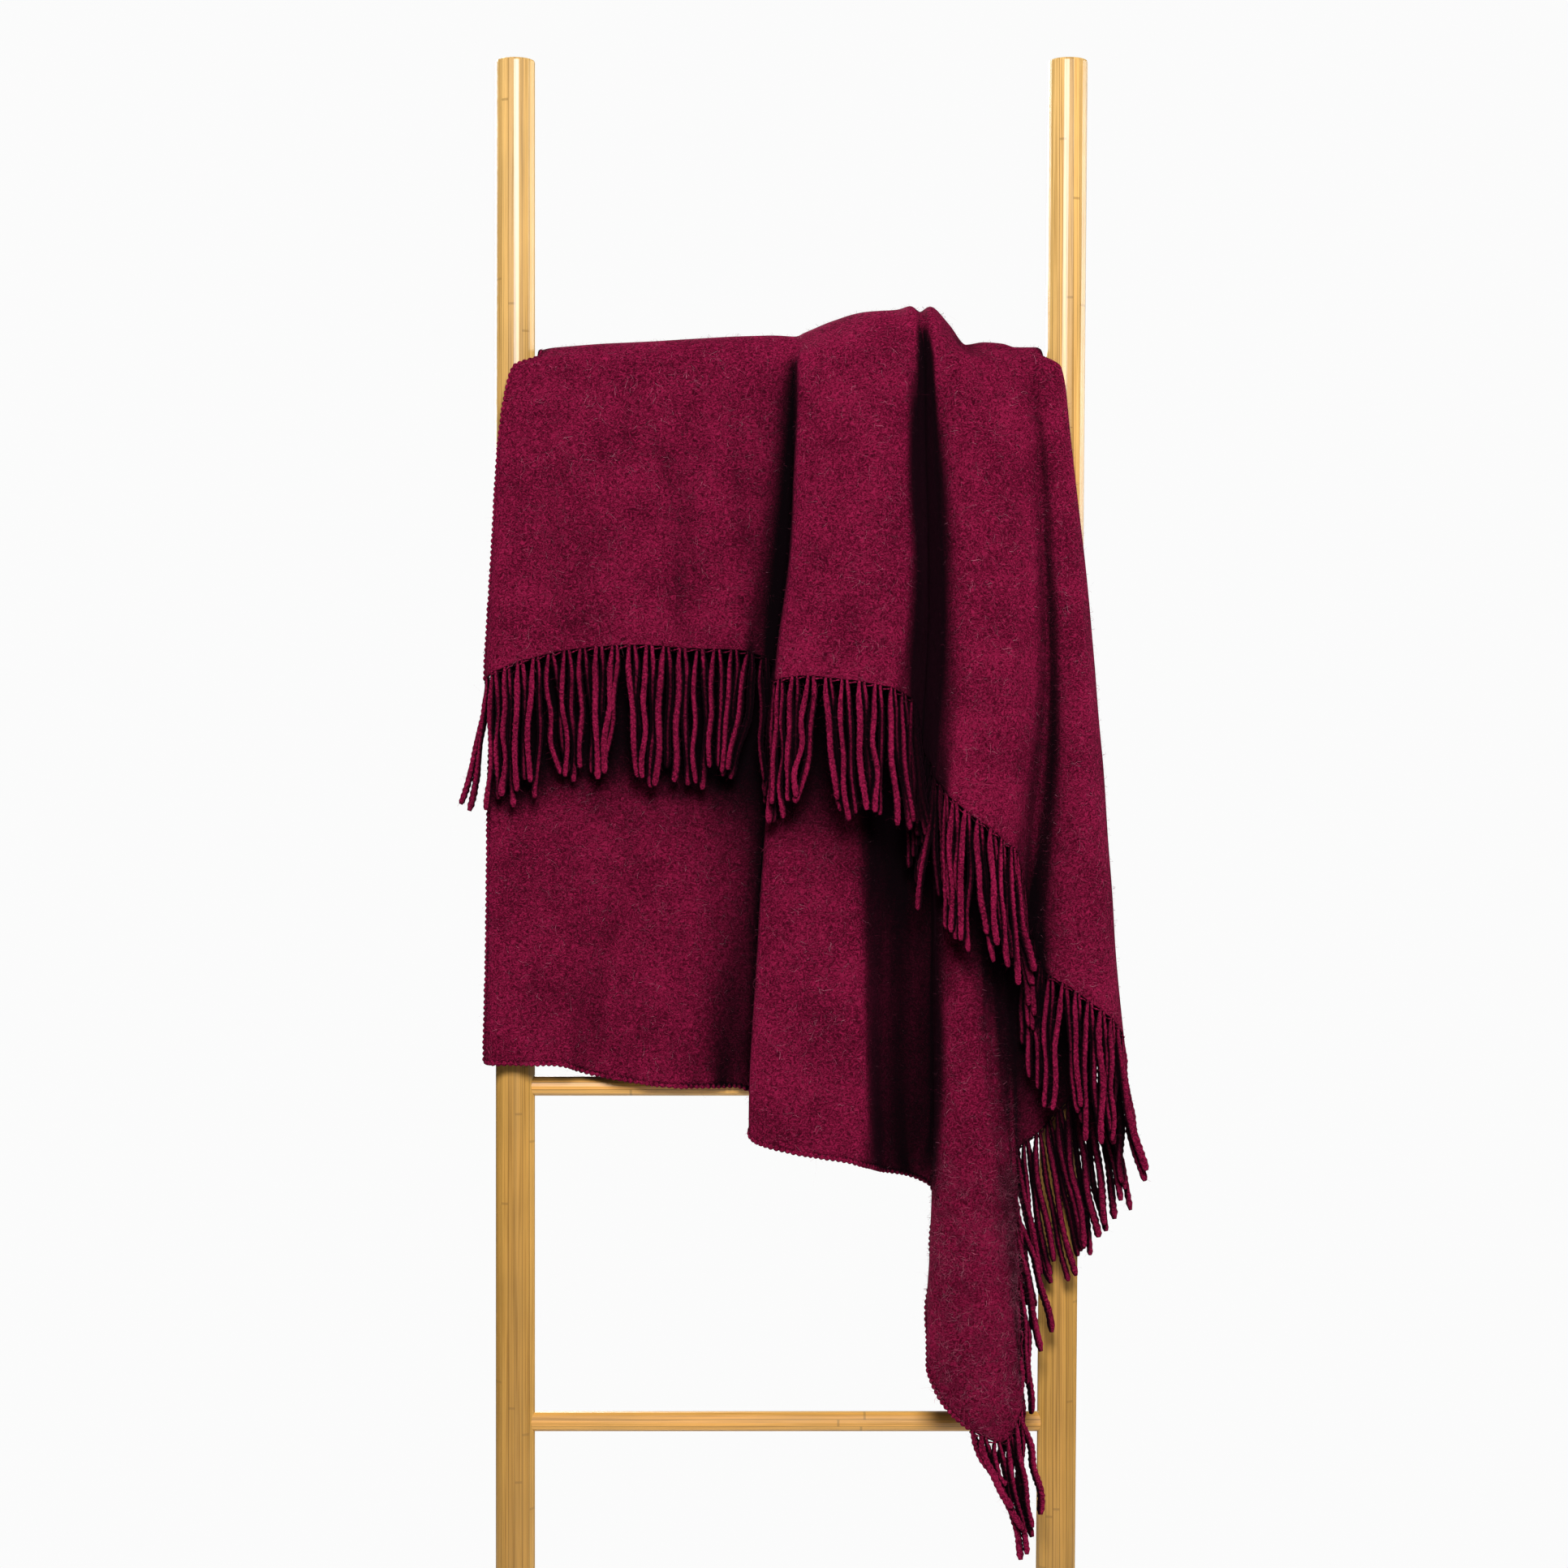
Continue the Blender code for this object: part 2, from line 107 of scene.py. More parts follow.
def bamboo(name, along, across, depth, painted_light_gain):
    """Varnished strips that run along one axis and lie side by side across another."""
    made, tree, shader = new_material(name)
    place = add_node(tree, "ShaderNodeTexCoord").outputs["Object"]
    axes = add_node(tree, "ShaderNodeSeparateXYZ", {0: place}).outputs
    strips = calculate(tree, "DIVIDE", axes[across], STRIP_WIDTH)
    column = calculate(tree, "FLOOR", strips)
    layer = calculate(tree, "FLOOR", calculate(tree, "DIVIDE", axes[depth], STRIP_DEPTH))
    strip_key = add_node(tree, "ShaderNodeCombineXYZ", {0: column, 1: layer}).outputs[0]
    strip_tone = add_node(tree, "ShaderNodeTexWhiteNoise", {"Vector": strip_key}).outputs["Value"]
    from_seam = calculate(tree, "PINGPONG", strips, 0.5)
    seam = calculate(tree, "LESS_THAN", from_seam, SEAM_SHARE)
    stretch = {along: 6.0, across: 900.0, depth: 900.0}
    scales = [stretch[axis] for axis in "XYZ"]
    grain_place = add_node(tree, "ShaderNodeVectorMath", {0: place, 1: scales}, operation="MULTIPLY")
    grain_values = {"Vector": grain_place.outputs[0], "Scale": 1.0, "Detail": 4.0, "Roughness": 0.62}
    grain = add_node(tree, "ShaderNodeTexNoise", grain_values).outputs["Fac"]
    cloudy = add_node(tree, "ShaderNodeTexNoise", {"Vector": place, "Scale": 14.0, "Detail": 2.0})
    shifted = calculate(tree, "ADD", calculate(tree, "DIVIDE", axes[along], NODE_SPACING), strip_tone)
    from_node = calculate(tree, "PINGPONG", shifted, 0.5)
    node_mark = calculate(tree, "LESS_THAN", from_node, NODE_SHARE)
    # The colour runs from a darker olive gold at the foot to a paler straw at the top of the ladder.
    height = calculate(tree, "DIVIDE", axes["Z"], LADDER_HEIGHT)
    by_height = ramp(
        tree, height,
        (0.0, (0.50, 0.30, 0.085)),
        (0.45, (0.62, 0.375, 0.105)),
        (0.72, (0.70, 0.455, 0.160)),
        (1.0, (0.74, 0.515, 0.215)),
    )
    tones = ramp(
        tree, strip_tone,
        (0.0, (0.86, 0.82, 0.76)),
        (0.5, (1.0, 1.0, 1.0)),
        (1.0, (1.10, 1.07, 1.0)),
    )
    streaks = ramp(
        tree, grain,
        (0.32, (0.66, 0.58, 0.46)),
        (0.52, (1.0, 1.0, 1.0)),
        (0.74, (1.10, 1.08, 1.04)),
    )
    clouds = ramp(tree, cloudy.outputs["Fac"], (0.3, (0.93, 0.92, 0.90)), (0.7, (1.04, 1.03, 1.0)))
    colour = by_height
    for factor in ((painted_light_gain, painted_light_gain, painted_light_gain, 1), tones, streaks, clouds):
        colour = blend_colours(tree, 1.0, colour, factor, "MULTIPLY")
    colour = blend_colours(tree, calculate(tree, "MULTIPLY", seam, 0.55), colour, SEAM_BROWN)
    colour = blend_colours(tree, calculate(tree, "MULTIPLY", node_mark, 0.45), colour, NODE_BROWN)
    tree.links.new(colour, shader.inputs["Base Color"])
    rise = calculate(tree, "SUBTRACT", grain, calculate(tree, "MULTIPLY", seam, 0.8))
    bump = add_node(tree, "ShaderNodeBump", {"Strength": 0.35, "Distance": 0.0004, "Height": rise})
    tree.links.new(bump.outputs["Normal"], shader.inputs["Normal"])
    shader.inputs["Roughness"].default_value = 0.38
    shader.inputs["Diffuse Roughness"].default_value = 1.0
    shader.inputs["Coat Weight"].default_value = 0.25
    shader.inputs["Coat Roughness"].default_value = 0.30
    return made


upright_bamboo = bamboo("bamboo_upright", "Z", "X", "Y", 1.0)
# Painted light: the rungs take a copy of the same bamboo made 1.25 times paler, for the brighter light
# on the rungs.
rung_bamboo = bamboo("bamboo_rung", "X", "Z", "Y", 1.25)
for side in ("left", "right"):
    parts[f"upright_{side}"].data.materials[0] = upright_bamboo
for number in range(1, 6):
    parts[f"rung_{number}"].data.materials[0] = rung_bamboo

# The throw's cloth
# One piece of thick felted wool, woven loosely and brushed, so that it falls in big soft pleats
# with a fuzzy mottled face. It hangs over the top rung, folded back on itself on the right, with
# a short outer layer of four pleats in front of a longer inner layer, and a plain flap behind.
MM = 0.001
CLOTH_THICKNESS = 0.0026
RUNG_HEIGHT = 1.426
CHEST_HEIGHT = 1.363
TURN_SHARE = 0.72
BROW_SHARE = 0.36
BROW_RISE = 0.005
BACK_BROW_DROP = 0.012
BACK_HEM_HEIGHT = 0.985
BACK_WAVE = 0.012
BACK_SPREAD = 1.09
BACK_BULK = 1.5
BACK_CLEARANCE = 0.0225
BROW_CLEARANCE = 0.0105
INNER_LIFT = 0.012
COLUMN_WIDTH = 0.0037
ROWS_PER_SPAN = (44, 38, 9, 8, 6, 6, 8, 20, 20)
CLEAR_LIMIT = 0.05
OWN_SURFACE = 0.0006
BROAD_SWELL, SMALL_SWELL, HEM_RIPPLE = 0.0032, 0.0011, 0.0012
RIPPLE_PITCH, RIPPLE_REACH = 0.027, 0.022
LEAST_ROOM, AMPLE_ROOM = 0.002, 0.016
RUNG_ZONE, RUNG_FADE, RUNG_LEAST = 0.035, 0.07, 0.12
# Painted shade: the wool's colour turns towards near black where ambient occlusion within the reach
# drops from the clear level to the black level, deep in the folds and under the fringe.
PAINTED_SHADE_REACH, PAINTED_SHADE_BLACK, PAINTED_SHADE_CLEAR = 0.12, 0.66, 0.89
PAINTED_SHADE_COLOUR = (0.003, 0.0010, 0.0020, 1.0)
FELT_REDS = ((0.058, 0.0022, 0.0130), (0.150, 0.0056, 0.032), (0.30, 0.0145, 0.069))
FELT_GRAIN = 850.0
WEAVE_STRETCH = (0.62, 0.62, 1.0)

# One row for each fold line of the sheet, from the outer layer's left edge round the right-hand
# fold to the inner layer's left edge, in millimetres. hem is the lower end, mid lies halfway up
# to the chest, chest is just below the rung, and lift is the line's height over the rung's centre.
Fold = namedtuple("Fold", "name hem_x hem_y hem_z mid_x mid_y chest_x chest_y rung_x lift")

FOLDS = (
    Fold("left edge", -256, -26, 1168, -250, -28, -244, -30, -211, 21),
    Fold("left corner", -248, -40, 1175, -242, -38, -238, -35, -204, 23),
    Fold("crest 1a", -219, -49, 1186, -214, -45, -210, -40, -183, 25),
    Fold("trough 1a", -178, -43, 1195, -180, -38, -180, -36, -158, 27),
    Fold("crest 1b", -131, -51, 1198, -133, -47, -130, -43, -115, 29),
    Fold("trough 1b", -84, -44, 1195, -85, -39, -95, -38, -80, 31),
    Fold("crest 1c", -47, -47, 1194, -45, -45, -50, -42, -46, 33),
    Fold("end of panel 1", -25, -42, 1189, -15, -39, -13, -38, -16, 34),
    Fold("valley 1 to 2", -9, -37, 1178, -1, -33, 3, -34, 3, 33),
    Fold("lip 2", -14, -70, 1167, -2, -63, 5, -56, 14, 37),
    Fold("crest 2a", 7, -92, 1171, 16, -83, 24, -71, 36, 46),
    Fold("crest 2b", 50, -98, 1167, 58, -90, 60, -79, 64, 54),
    Fold("side 2", 87, -88, 1159, 92, -82, 92, -73, 90, 56),
    Fold("return 2", 101, -66, 1148, 107, -60, 104, -53, 101, 59),
    Fold("valley 2 to 3", 110, -42, 1118, 115, -36, 113, -36, 109, 54),
    Fold("lip 3", 121, -80, 1082, 130, -78, 123, -62, 118, 58),
    Fold("crest 3a", 139, -104, 1064, 150, -94, 143, -76, 133, 43),
    Fold("crest 3b", 172, -98, 1038, 178, -88, 170, -68, 148, 26),
    Fold("side 3", 188, -79, 1022, 199, -73, 193, -54, 163, 28),
    Fold("valley 3 to 4", 197, -63, 978, 213, -58, 206, -42, 178, 27),
    Fold("rise 4", 208, -72, 930, 226, -65, 217, -46, 190, 24),
    Fold("crest 4", 231, -77, 914, 239, -66, 226, -42, 200, 24),
    Fold("side 4", 258, -70, 893, 250, -58, 231, -38, 207, 24),
    Fold("right turn", 272, -56, 880, 256, -46, 234, -32, 211, 22),
    Fold("right fold", 275, -45, 871, 257, -36, 234, -26, 212, 18),
    Fold("back of the fold", 265, -35, 858, 252, -29, 230, -21.5, 208, 12),
    Fold("fringed edge 1", 240, -33, 827, 236, -26, 220, -21.5, 202, 12),
    Fold("fringed edge 2", 208, -37, 793, 210, -28, 203, -21.5, 188, 12),
    Fold("top of the tail", 187, -44, 771, 184, -36, 184, -22, 176, 12),
    Fold("tail side 1", 187, -54, 715, 174, -40, 172, -22, 166, 12),
    Fold("tail side 2", 189, -64, 640, 164, -48, 163, -22, 158, 12),
    Fold("tail side 3", 190, -72, 572, 156, -54, 155, -23, 150, 12),
    Fold("tail tip", 174, -82, 541, 151, -57, 147, -24, 142, 12),
    Fold("tail crest", 147, -88, 553, 143, -58, 139, -24, 134, 12),
    Fold("tail left", 120, -80, 581, 135, -54, 130, -24, 126, 12),
    Fold("tail lip", 112, -62, 616, 128, -46, 122, -23, 118, 12),
    Fold("tail return", 121, -32, 742, 121, -22, 113, -20, 108, 12),
    Fold("valley B to tail", 100, -20.5, 754, 103, -16, 96, -17, 94, 12),
    Fold("side B", 76, -38, 760, 79, -27, 78, -20, 78, 12),
    Fold("crest Bb", 53, -76, 770, 55, -42, 52, -23, 50, 12),
    Fold("crest Ba", -3, -80, 780, 6, -42, 18, -23, 20, 12),
    Fold("lip B", -34, -62, 791, -19, -31, -2, -21.5, -4, 12),
    Fold("return B", -22, -24, 812, -14, -17, -16, -18, -18, 12),
    Fold("valley A to B", -46, -14.5, 828, -38, -14.5, -42, -18, -42, 12),
    Fold("crest A right", -88, -22, 828, -82, -19, -86, -20, -84, 12),
    Fold("trough A", -163, -20, 838, -152, -18, -150, -20, -146, 12),
    Fold("crest A left", -200, -32, 848, -196, -27, -193, -22, -182, 12),
    Fold("corner A", -245, -29, 848, -242, -25, -230, -21.5, -203, 12),
    Fold("side A", -257, -18, 848, -252, -20, -238, -21, -208, 12),
)
LAST_OUTER = "right turn"
FRINGE_END = "tail crest"

# The softer creases on the pleats, each from its top to its bottom in millimetres as the viewer
# sees it, with its depth (a ridge's is negative) and half width. layer is the outer or inner cloth.
Crease = namedtuple("Crease", "layer top_x top_z bottom_x bottom_z depth width")

CREASES = (
    Crease("outer", -196, 1345, -185, 1215, 5.7, 11),
    Crease("outer", -120, 1400, -86, 1300, 6.6, 9),
    Crease("outer", -86, 1300, -86, 1205, 5.7, 9),
    Crease("outer", -60, 1390, -50, 1290, -3.8, 9),
    Crease("outer", 40, 1330, 30, 1190, 3.8, 9),
    Crease("outer", 66, 1390, 72, 1250, -3.0, 8),
    Crease("outer", 160, 1300, 156, 1110, 3.4, 8),
    Crease("inner", -138, 1050, -147, 990, 4.0, 8),
    Crease("inner", -147, 990, -169, 900, 5.6, 9),
    Crease("inner", -169, 900, -171, 838, 5.6, 10),
    Crease("inner", -220, 1040, -214, 880, 3.2, 9),
    Crease("inner", -100, 1060, -108, 850, -3.2, 12),
    Crease("inner", 10, 1000, 16, 800, 3.2, 9),
    Crease("inner", 52, 1000, 60, 790, -2.6, 9),
)


def smooth_through(knots, values, at):
    """A curve through the values that rises and falls only where they do."""
    knots = np.asarray(knots, float)
    values = np.asarray(values, float)
    gaps = np.diff(knots)
    slopes = np.diff(values, axis=0) / gaps[:, None]
    before, after = slopes[:-1], slopes[1:]
    turning = before * after <= 0
    total = np.where(turning, 1.0, before + after)
    inner = np.where(turning, 0.0, 2 * before * after / total)
    tangents = np.vstack([slopes[:1], inner, slopes[-1:]])
    span = np.clip(np.searchsorted(knots, at, side="right") - 1, 0, len(gaps) - 1)
    step = gaps[span][:, None]
    t = (np.asarray(at) - knots[span])[:, None] / step
    start, end = values[span], values[span + 1]
    leave, arrive = tangents[span] * step, tangents[span + 1] * step
    return (
        (2 * t**3 - 3 * t**2 + 1) * start
        + (t**3 - 2 * t**2 + t) * leave
        + (3 * t**2 - 2 * t**3) * end
        + (t**3 - t**2) * arrive
    )


def line_down_a_fold(fold, share):
    """The points that one fold line passes through, from its front hem over the rung to the back."""
    hem = np.array([fold.hem_x, fold.hem_y, fold.hem_z]) * MM
    chest = np.array([fold.chest_x * MM, fold.chest_y * MM, CHEST_HEIGHT])
    mid = np.array([fold.mid_x * MM, fold.mid_y * MM, (hem[2] + CHEST_HEIGHT) / 2])
    rung_x, lift = fold.rung_x * MM, fold.lift * MM
    brow_x = chest[0] + BROW_SHARE * (rung_x - chest[0])
    brow_y = min(0.45 * chest[1] - 0.6 * lift, 0.55 * chest[1] - BROW_CLEARANCE)
    brow = (brow_x, brow_y, RUNG_HEIGHT + BROW_RISE * lift / INNER_LIFT / 2)
    front_turn = (rung_x, -TURN_SHARE * lift, RUNG_HEIGHT + TURN_SHARE * lift)
    crest = (rung_x, 0.0, RUNG_HEIGHT + lift)
    back_turn = (rung_x, TURN_SHARE * lift, RUNG_HEIGHT + TURN_SHARE * lift)
    back_y = BACK_CLEARANCE + BACK_BULK * (lift - INNER_LIFT)
    back_brow = (rung_x * (1 + BACK_SPREAD) / 2, back_y * 0.96, RUNG_HEIGHT - BACK_BROW_DROP)
    back_x = rung_x * BACK_SPREAD
    wave = BACK_WAVE * sin(5 * pi * share)
    back_mid = (back_x, back_y, (RUNG_HEIGHT + BACK_HEM_HEIGHT) / 2)
    back_hem = (back_x, back_y * 1.06, BACK_HEM_HEIGHT + wave)
    return [hem, mid, chest, brow, front_turn, crest, back_turn, back_brow, back_mid, back_hem]


def sheet_grid():
    """The sheet's middle surface, and the column at which each fold line lies."""
    shares = np.linspace(0, 1, len(FOLDS))
    lines = np.array([line_down_a_fold(fold, s) for fold, s in zip(FOLDS, shares)])
    spacing = np.linalg.norm(np.diff(lines, axis=0), axis=2)
    widths = spacing[:, :3].mean(axis=1)
    knots = np.concatenate([[0.0], np.cumsum(np.sqrt(widths))])
    at, fold_at = [], {}
    for k, width in enumerate(widths):
        fold_at[FOLDS[k].name] = len(at)
        pieces = max(4, round(width / COLUMN_WIDTH))
        at.extend(np.linspace(knots[k], knots[k + 1], pieces, endpoint=False))
    fold_at[FOLDS[-1].name] = len(at)
    at.append(knots[-1])
    flat = lines.reshape(len(FOLDS), -1)
    columns = smooth_through(knots, flat, np.array(at)).reshape(len(at), -1, 3)
    down = []
    for span, rows in enumerate(ROWS_PER_SPAN):
        down.extend(span + row / rows for row in range(rows))
    down.append(len(ROWS_PER_SPAN))
    steps = np.linalg.norm(np.diff(columns, axis=1), axis=2).mean(axis=0)
    lengths = np.concatenate([[0.0], np.cumsum(steps)])
    at_lengths = np.interp(down, range(len(lengths)), lengths)
    grid = np.array([smooth_through(lengths, column, at_lengths) for column in columns])
    return grid, fold_at


def grid_normals(grid):
    """Directions square to the sheet."""
    across = np.gradient(grid, axis=0)
    along = np.gradient(grid, axis=1)
    normals = np.cross(across, along)
    normals /= np.linalg.norm(normals, axis=2, keepdims=True)
    return normals


def distances(grid):
    """How far each point lies across and down the cloth, measured on it, in metres."""
    steps = np.linalg.norm(np.diff(grid, axis=0), axis=2)
    front = steps[:, : ROWS_PER_SPAN[0] * 2].mean(axis=1)
    across = np.concatenate([[0.0], np.cumsum(front)])
    steps = np.linalg.norm(np.diff(grid, axis=1), axis=2)
    down = np.concatenate([np.zeros((len(grid), 1)), np.cumsum(steps, axis=1)], axis=1)
    return np.repeat(across[:, None], grid.shape[1], axis=1), down


def clear_space(grid, normals):
    """The free distance to the nearest cloth in front of and behind each point."""
    columns, rows = grid.shape[:2]
    points = grid.reshape(-1, 3)
    faces = []
    for i in range(columns - 1):
        for j in range(rows - 1):
            first = i * rows + j
            faces.append((first, first + rows, first + rows + 1, first + 1))
    tree = BVHTree.FromPolygons([Vector(point) for point in points], faces)
    free = np.full(len(points), CLEAR_LIMIT)
    for k, (point, normal) in enumerate(zip(points, normals.reshape(-1, 3))):
        start, direction = Vector(point), Vector(normal)
        for sign in (1, -1):
            begin = start + direction * sign * OWN_SURFACE
            hit = tree.ray_cast(begin, direction * sign, CLEAR_LIMIT)
            if hit[3] is not None:
                free[k] = min(free[k], hit[3])
    return free.reshape(columns, rows)


def evened(field, rounds):
    """A field averaged with its neighbours on the grid."""
    for _ in range(rounds):
        padded = np.pad(field, 1, mode="edge")
        field = (padded[:-2, 1:-1] + padded[2:, 1:-1] + padded[1:-1, :-2] + padded[1:-1, 2:]) / 4
    return field


def crease_field(grid, is_outer, rows_in_front):
    """How far the creases push each point away from the viewer."""
    trough, ridge = np.zeros(grid.shape[:2]), np.zeros(grid.shape[:2])
    x, z = grid[:, :, 0], grid[:, :, 2]
    in_front = np.arange(grid.shape[1])[None] < rows_in_front
    for crease in CREASES:
        start = np.array([crease.top_x, crease.top_z]) * MM
        end = np.array([crease.bottom_x, crease.bottom_z]) * MM
        line = end - start
        share = ((x - start[0]) * line[0] + (z - start[1]) * line[1]) / line.dot(line)
        inside = np.clip(share, 0, 1)
        gap = np.hypot(x - start[0] - inside * line[0], z - start[1] - inside * line[1])
        dip = crease.depth * MM * np.exp(-((gap / (crease.width * MM)) ** 2))
        on_layer = is_outer if crease.layer == "outer" else ~is_outer
        dip = dip * (on_layer[:, None] & in_front)
        trough, ridge = np.maximum(trough, dip), np.minimum(ridge, dip)
    return trough + ridge


def relief(grid, normals, is_outer, rows_in_front):
    """The cloth's own soft undulations and creases, less where it has little room."""
    across, down = distances(grid)
    lumps = np.zeros(grid.shape[:2])
    for i in range(grid.shape[0]):
        for j in range(grid.shape[1]):
            u, v = across[i, j], down[i, j]
            broad = noise.noise(Vector((u * 13, v * 4.2, 0.3)))
            small = noise.noise(Vector((u * 34, v * 13, 4.1)))
            ripple = sin(2 * pi * u / RIPPLE_PITCH + 3 * noise.noise(Vector((u * 9, 2.0, 7.7))))
            fade = np.exp(-min(v, down[i, -1] - v) / RIPPLE_REACH)
            lumps[i, j] = BROAD_SWELL * broad + SMALL_SWELL * small + HEM_RIPPLE * ripple * fade
    viewer = np.sign(-normals[:, :, 1])
    lumps = lumps - crease_field(grid, is_outer, rows_in_front) * viewer
    room = clear_space(grid, normals) - CLOTH_THICKNESS - LEAST_ROOM
    room = np.clip(room / AMPLE_ROOM, 0, 1)
    height = np.abs(grid[:, :, 2] - RUNG_HEIGHT) + np.abs(grid[:, :, 1])
    away_from_rung = np.clip((height - RUNG_ZONE) / RUNG_FADE, RUNG_LEAST, 1)
    return lumps * evened(room, 6) * away_from_rung


def mesh_object(name, points, faces, finish):
    """A smooth object in the scene, made of the points and faces."""
    mesh = bpy.data.meshes.new(name)
    mesh.from_pydata([list(point) for point in points], [], faces)
    mesh.materials.append(finish)
    mesh.shade_smooth()
    made = bpy.data.objects.new(name, mesh)
    bpy.context.scene.collection.objects.link(made)
    return made


def closed_sheet(name, grid, normals, finish):
    """A sheet of the cloth's thickness with a rounded rim."""
    columns, rows = grid.shape[:2]
    half = CLOTH_THICKNESS / 2
    front = grid + normals * half
    back = grid - normals * half
    points = np.concatenate([front.reshape(-1, 3), back.reshape(-1, 3)])
    count = columns * rows
    ring = [(i, 0) for i in range(columns)]
    ring += [(columns - 1, j) for j in range(1, rows)]
    ring += [(i, rows - 1) for i in range(columns - 2, -1, -1)]
    ring += [(0, j) for j in range(rows - 2, 0, -1)]
    edge = np.array([grid[i, j] for i, j in ring])
    inside = np.array([
        grid[min(max(i, 1), columns - 2), min(max(j, 1), rows - 2)] for i, j in ring
    ])
    outward = edge - inside
    outward /= np.linalg.norm(outward, axis=1, keepdims=True)
    points = np.concatenate([points, edge + outward * half])
    faces = []
    for i in range(columns - 1):
        for j in range(rows - 1):
            a, b = i * rows + j, (i + 1) * rows + j
            faces.append((a, b, b + 1, a + 1))
            faces.append((count + a, count + a + 1, count + b + 1, count + b))
    for k, (i, j) in enumerate(ring):
        n = (k + 1) % len(ring)
        a = i * rows + j
        b = ring[n][0] * rows + ring[n][1]
        rim_a, rim_b = 2 * count + k, 2 * count + n
        faces.append((b, a, rim_a, rim_b))
        faces.append((count + a, count + b, rim_b, rim_a))
    return mesh_object(name, points, faces, finish)


def with_painted_fold_shade(tree, colour):
    """The colour with painted shade: darkened towards near black where ambient occlusion finds cloth
    close by, deep in the folds and under the fringe.
    """
    crevice = add_node(tree, "ShaderNodeAmbientOcclusion", {"Distance": PAINTED_SHADE_REACH}, samples=8)
    open_share = add_node(
        tree, "ShaderNodeMapRange",
        {"Value": crevice.outputs["AO"], "From Min": PAINTED_SHADE_BLACK, "From Max": PAINTED_SHADE_CLEAR},
        interpolation_type="SMOOTHSTEP",
    ).outputs["Result"]
    return blend_colours(tree, open_share, PAINTED_SHADE_COLOUR, colour)


def felted_wool(name, dark, middle, bright):
    """Brushed wool: clumps of fibre with dark gaps between them, a slight sheen, and painted shade deep
    in the folds.
    """
    made, tree, shader = new_material(name)
    place = add_node(tree, "ShaderNodeTexCoord").outputs["Object"]
    warp = add_node(tree, "ShaderNodeTexNoise", {"Vector": place, "Scale": 160.0, "Detail": 2.0})
    bent = add_node(
        tree, "ShaderNodeVectorMath",
        {0: warp.outputs["Color"], 1: (0.009, 0.009, 0.009), 2: place},
        operation="MULTIPLY_ADD",
    ).outputs[0]
    rows = add_node(
        tree, "ShaderNodeVectorMath", {0: bent, 1: WEAVE_STRETCH}, operation="MULTIPLY"
    ).outputs[0]
    felt_values = {"Vector": rows, "Scale": FELT_GRAIN, "Detail": 4.0, "Roughness": 0.68}
    felt = add_node(tree, "ShaderNodeTexNoise", felt_values).outputs["Fac"]
    shade = add_node(tree, "ShaderNodeTexNoise", {"Vector": place, "Scale": 26.0, "Detail": 3.0})
    tangle = calculate(tree, "MULTIPLY_ADD", shade.outputs["Fac"], 0.18, felt)
    colour = ramp(tree, tangle, (0.48, dark), (0.59, middle), (0.69, bright))
    tree.links.new(with_painted_fold_shade(tree, colour), shader.inputs["Base Color"])
    bump = add_node(tree, "ShaderNodeBump", {"Strength": 0.7, "Distance": 0.0010, "Height": felt})
    tree.links.new(bump.outputs["Normal"], shader.inputs["Normal"])
    shader.inputs["Roughness"].default_value = 0.95
    shader.inputs["Diffuse Roughness"].default_value = 1.0
    shader.inputs["Specular IOR Level"].default_value = 0.04
    shader.inputs["Sheen Weight"].default_value = 0.03
    shader.inputs["Sheen Roughness"].default_value = 0.45
    shader.inputs["Sheen Tint"].default_value = (0.80, 0.10, 0.30, 1.0)
    return made


grid, fold_at = sheet_grid()
normals = grid_normals(grid)
# The directions point to the viewer on the outer layer's first panel
if normals[len(normals) // 8, 4][1] > 0:
    normals = -normals
is_outer = np.arange(len(grid)) <= fold_at[LAST_OUTER]
rows_in_front = sum(ROWS_PER_SPAN[:4])
grid = grid + normals * relief(grid, normals, is_outer, rows_in_front)[:, :, None]
final_normals = grid_normals(grid)
normals = final_normals * np.sign((final_normals * normals).sum(axis=2, keepdims=True))
wool = felted_wool("wool_felt", *FELT_REDS)
cloth = closed_sheet("cloth", grid, normals, wool)
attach(cloth, "root")
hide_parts("throw_cloth")

# The fringe on the front hem and down the fringed edge of the tail
# Each strand is a bundle of warp ends from the hem, twisted into a soft cord about 6 mm thick and
# 100 mm long with a blunt felted tip. Strands hang singly or in clumps of two to five, whose tips
# draw together, and every second strand hangs behind its neighbours.
STRAND_PITCH = 0.0074
STRAND_SEGMENTS = 44
STRAND_SIDES = 8
STRAND_RADIUS = 0.0033
TWIST_PITCH = 0.0105
BEHIND = 0.0050
STEEP_FROM = 0.75
DROP_SHARE = 0.58
LANES = 4
PAIR_SHIFT = 0.0014
LANE_WIDTH = 0.0034
LEAD = 0.003
TIP_FORWARD = 0.003
LENGTH_SPREAD = (0.86, 1.05)
WAVE_SIZES = (0.0005, 0.0019)
WAVE_COUNTS = (0.9, 2.1)
CLUMP_SIZES = (1, 2, 2, 3, 4, 5)
CLUMP_DRAW = (0.1, 0.62)
CLUMP_SWAY = 0.0050
TIP_JITTER = 0.0012
PLUMPNESS = (0.82, 1.10)
# The strand reds are the felt reds made about a quarter paler: painted light for the brighter light on
# the hanging strands.
STRAND_REDS_WITH_PAINTED_LIGHT = ((0.075, 0.0028, 0.017), (0.19, 0.0072, 0.041), (0.36, 0.0165, 0.082))

# How far the strands' tips lie to the right of their roots at each fold, and their length, in mm
Hang = namedtuple("Hang", "fold tip_x length")

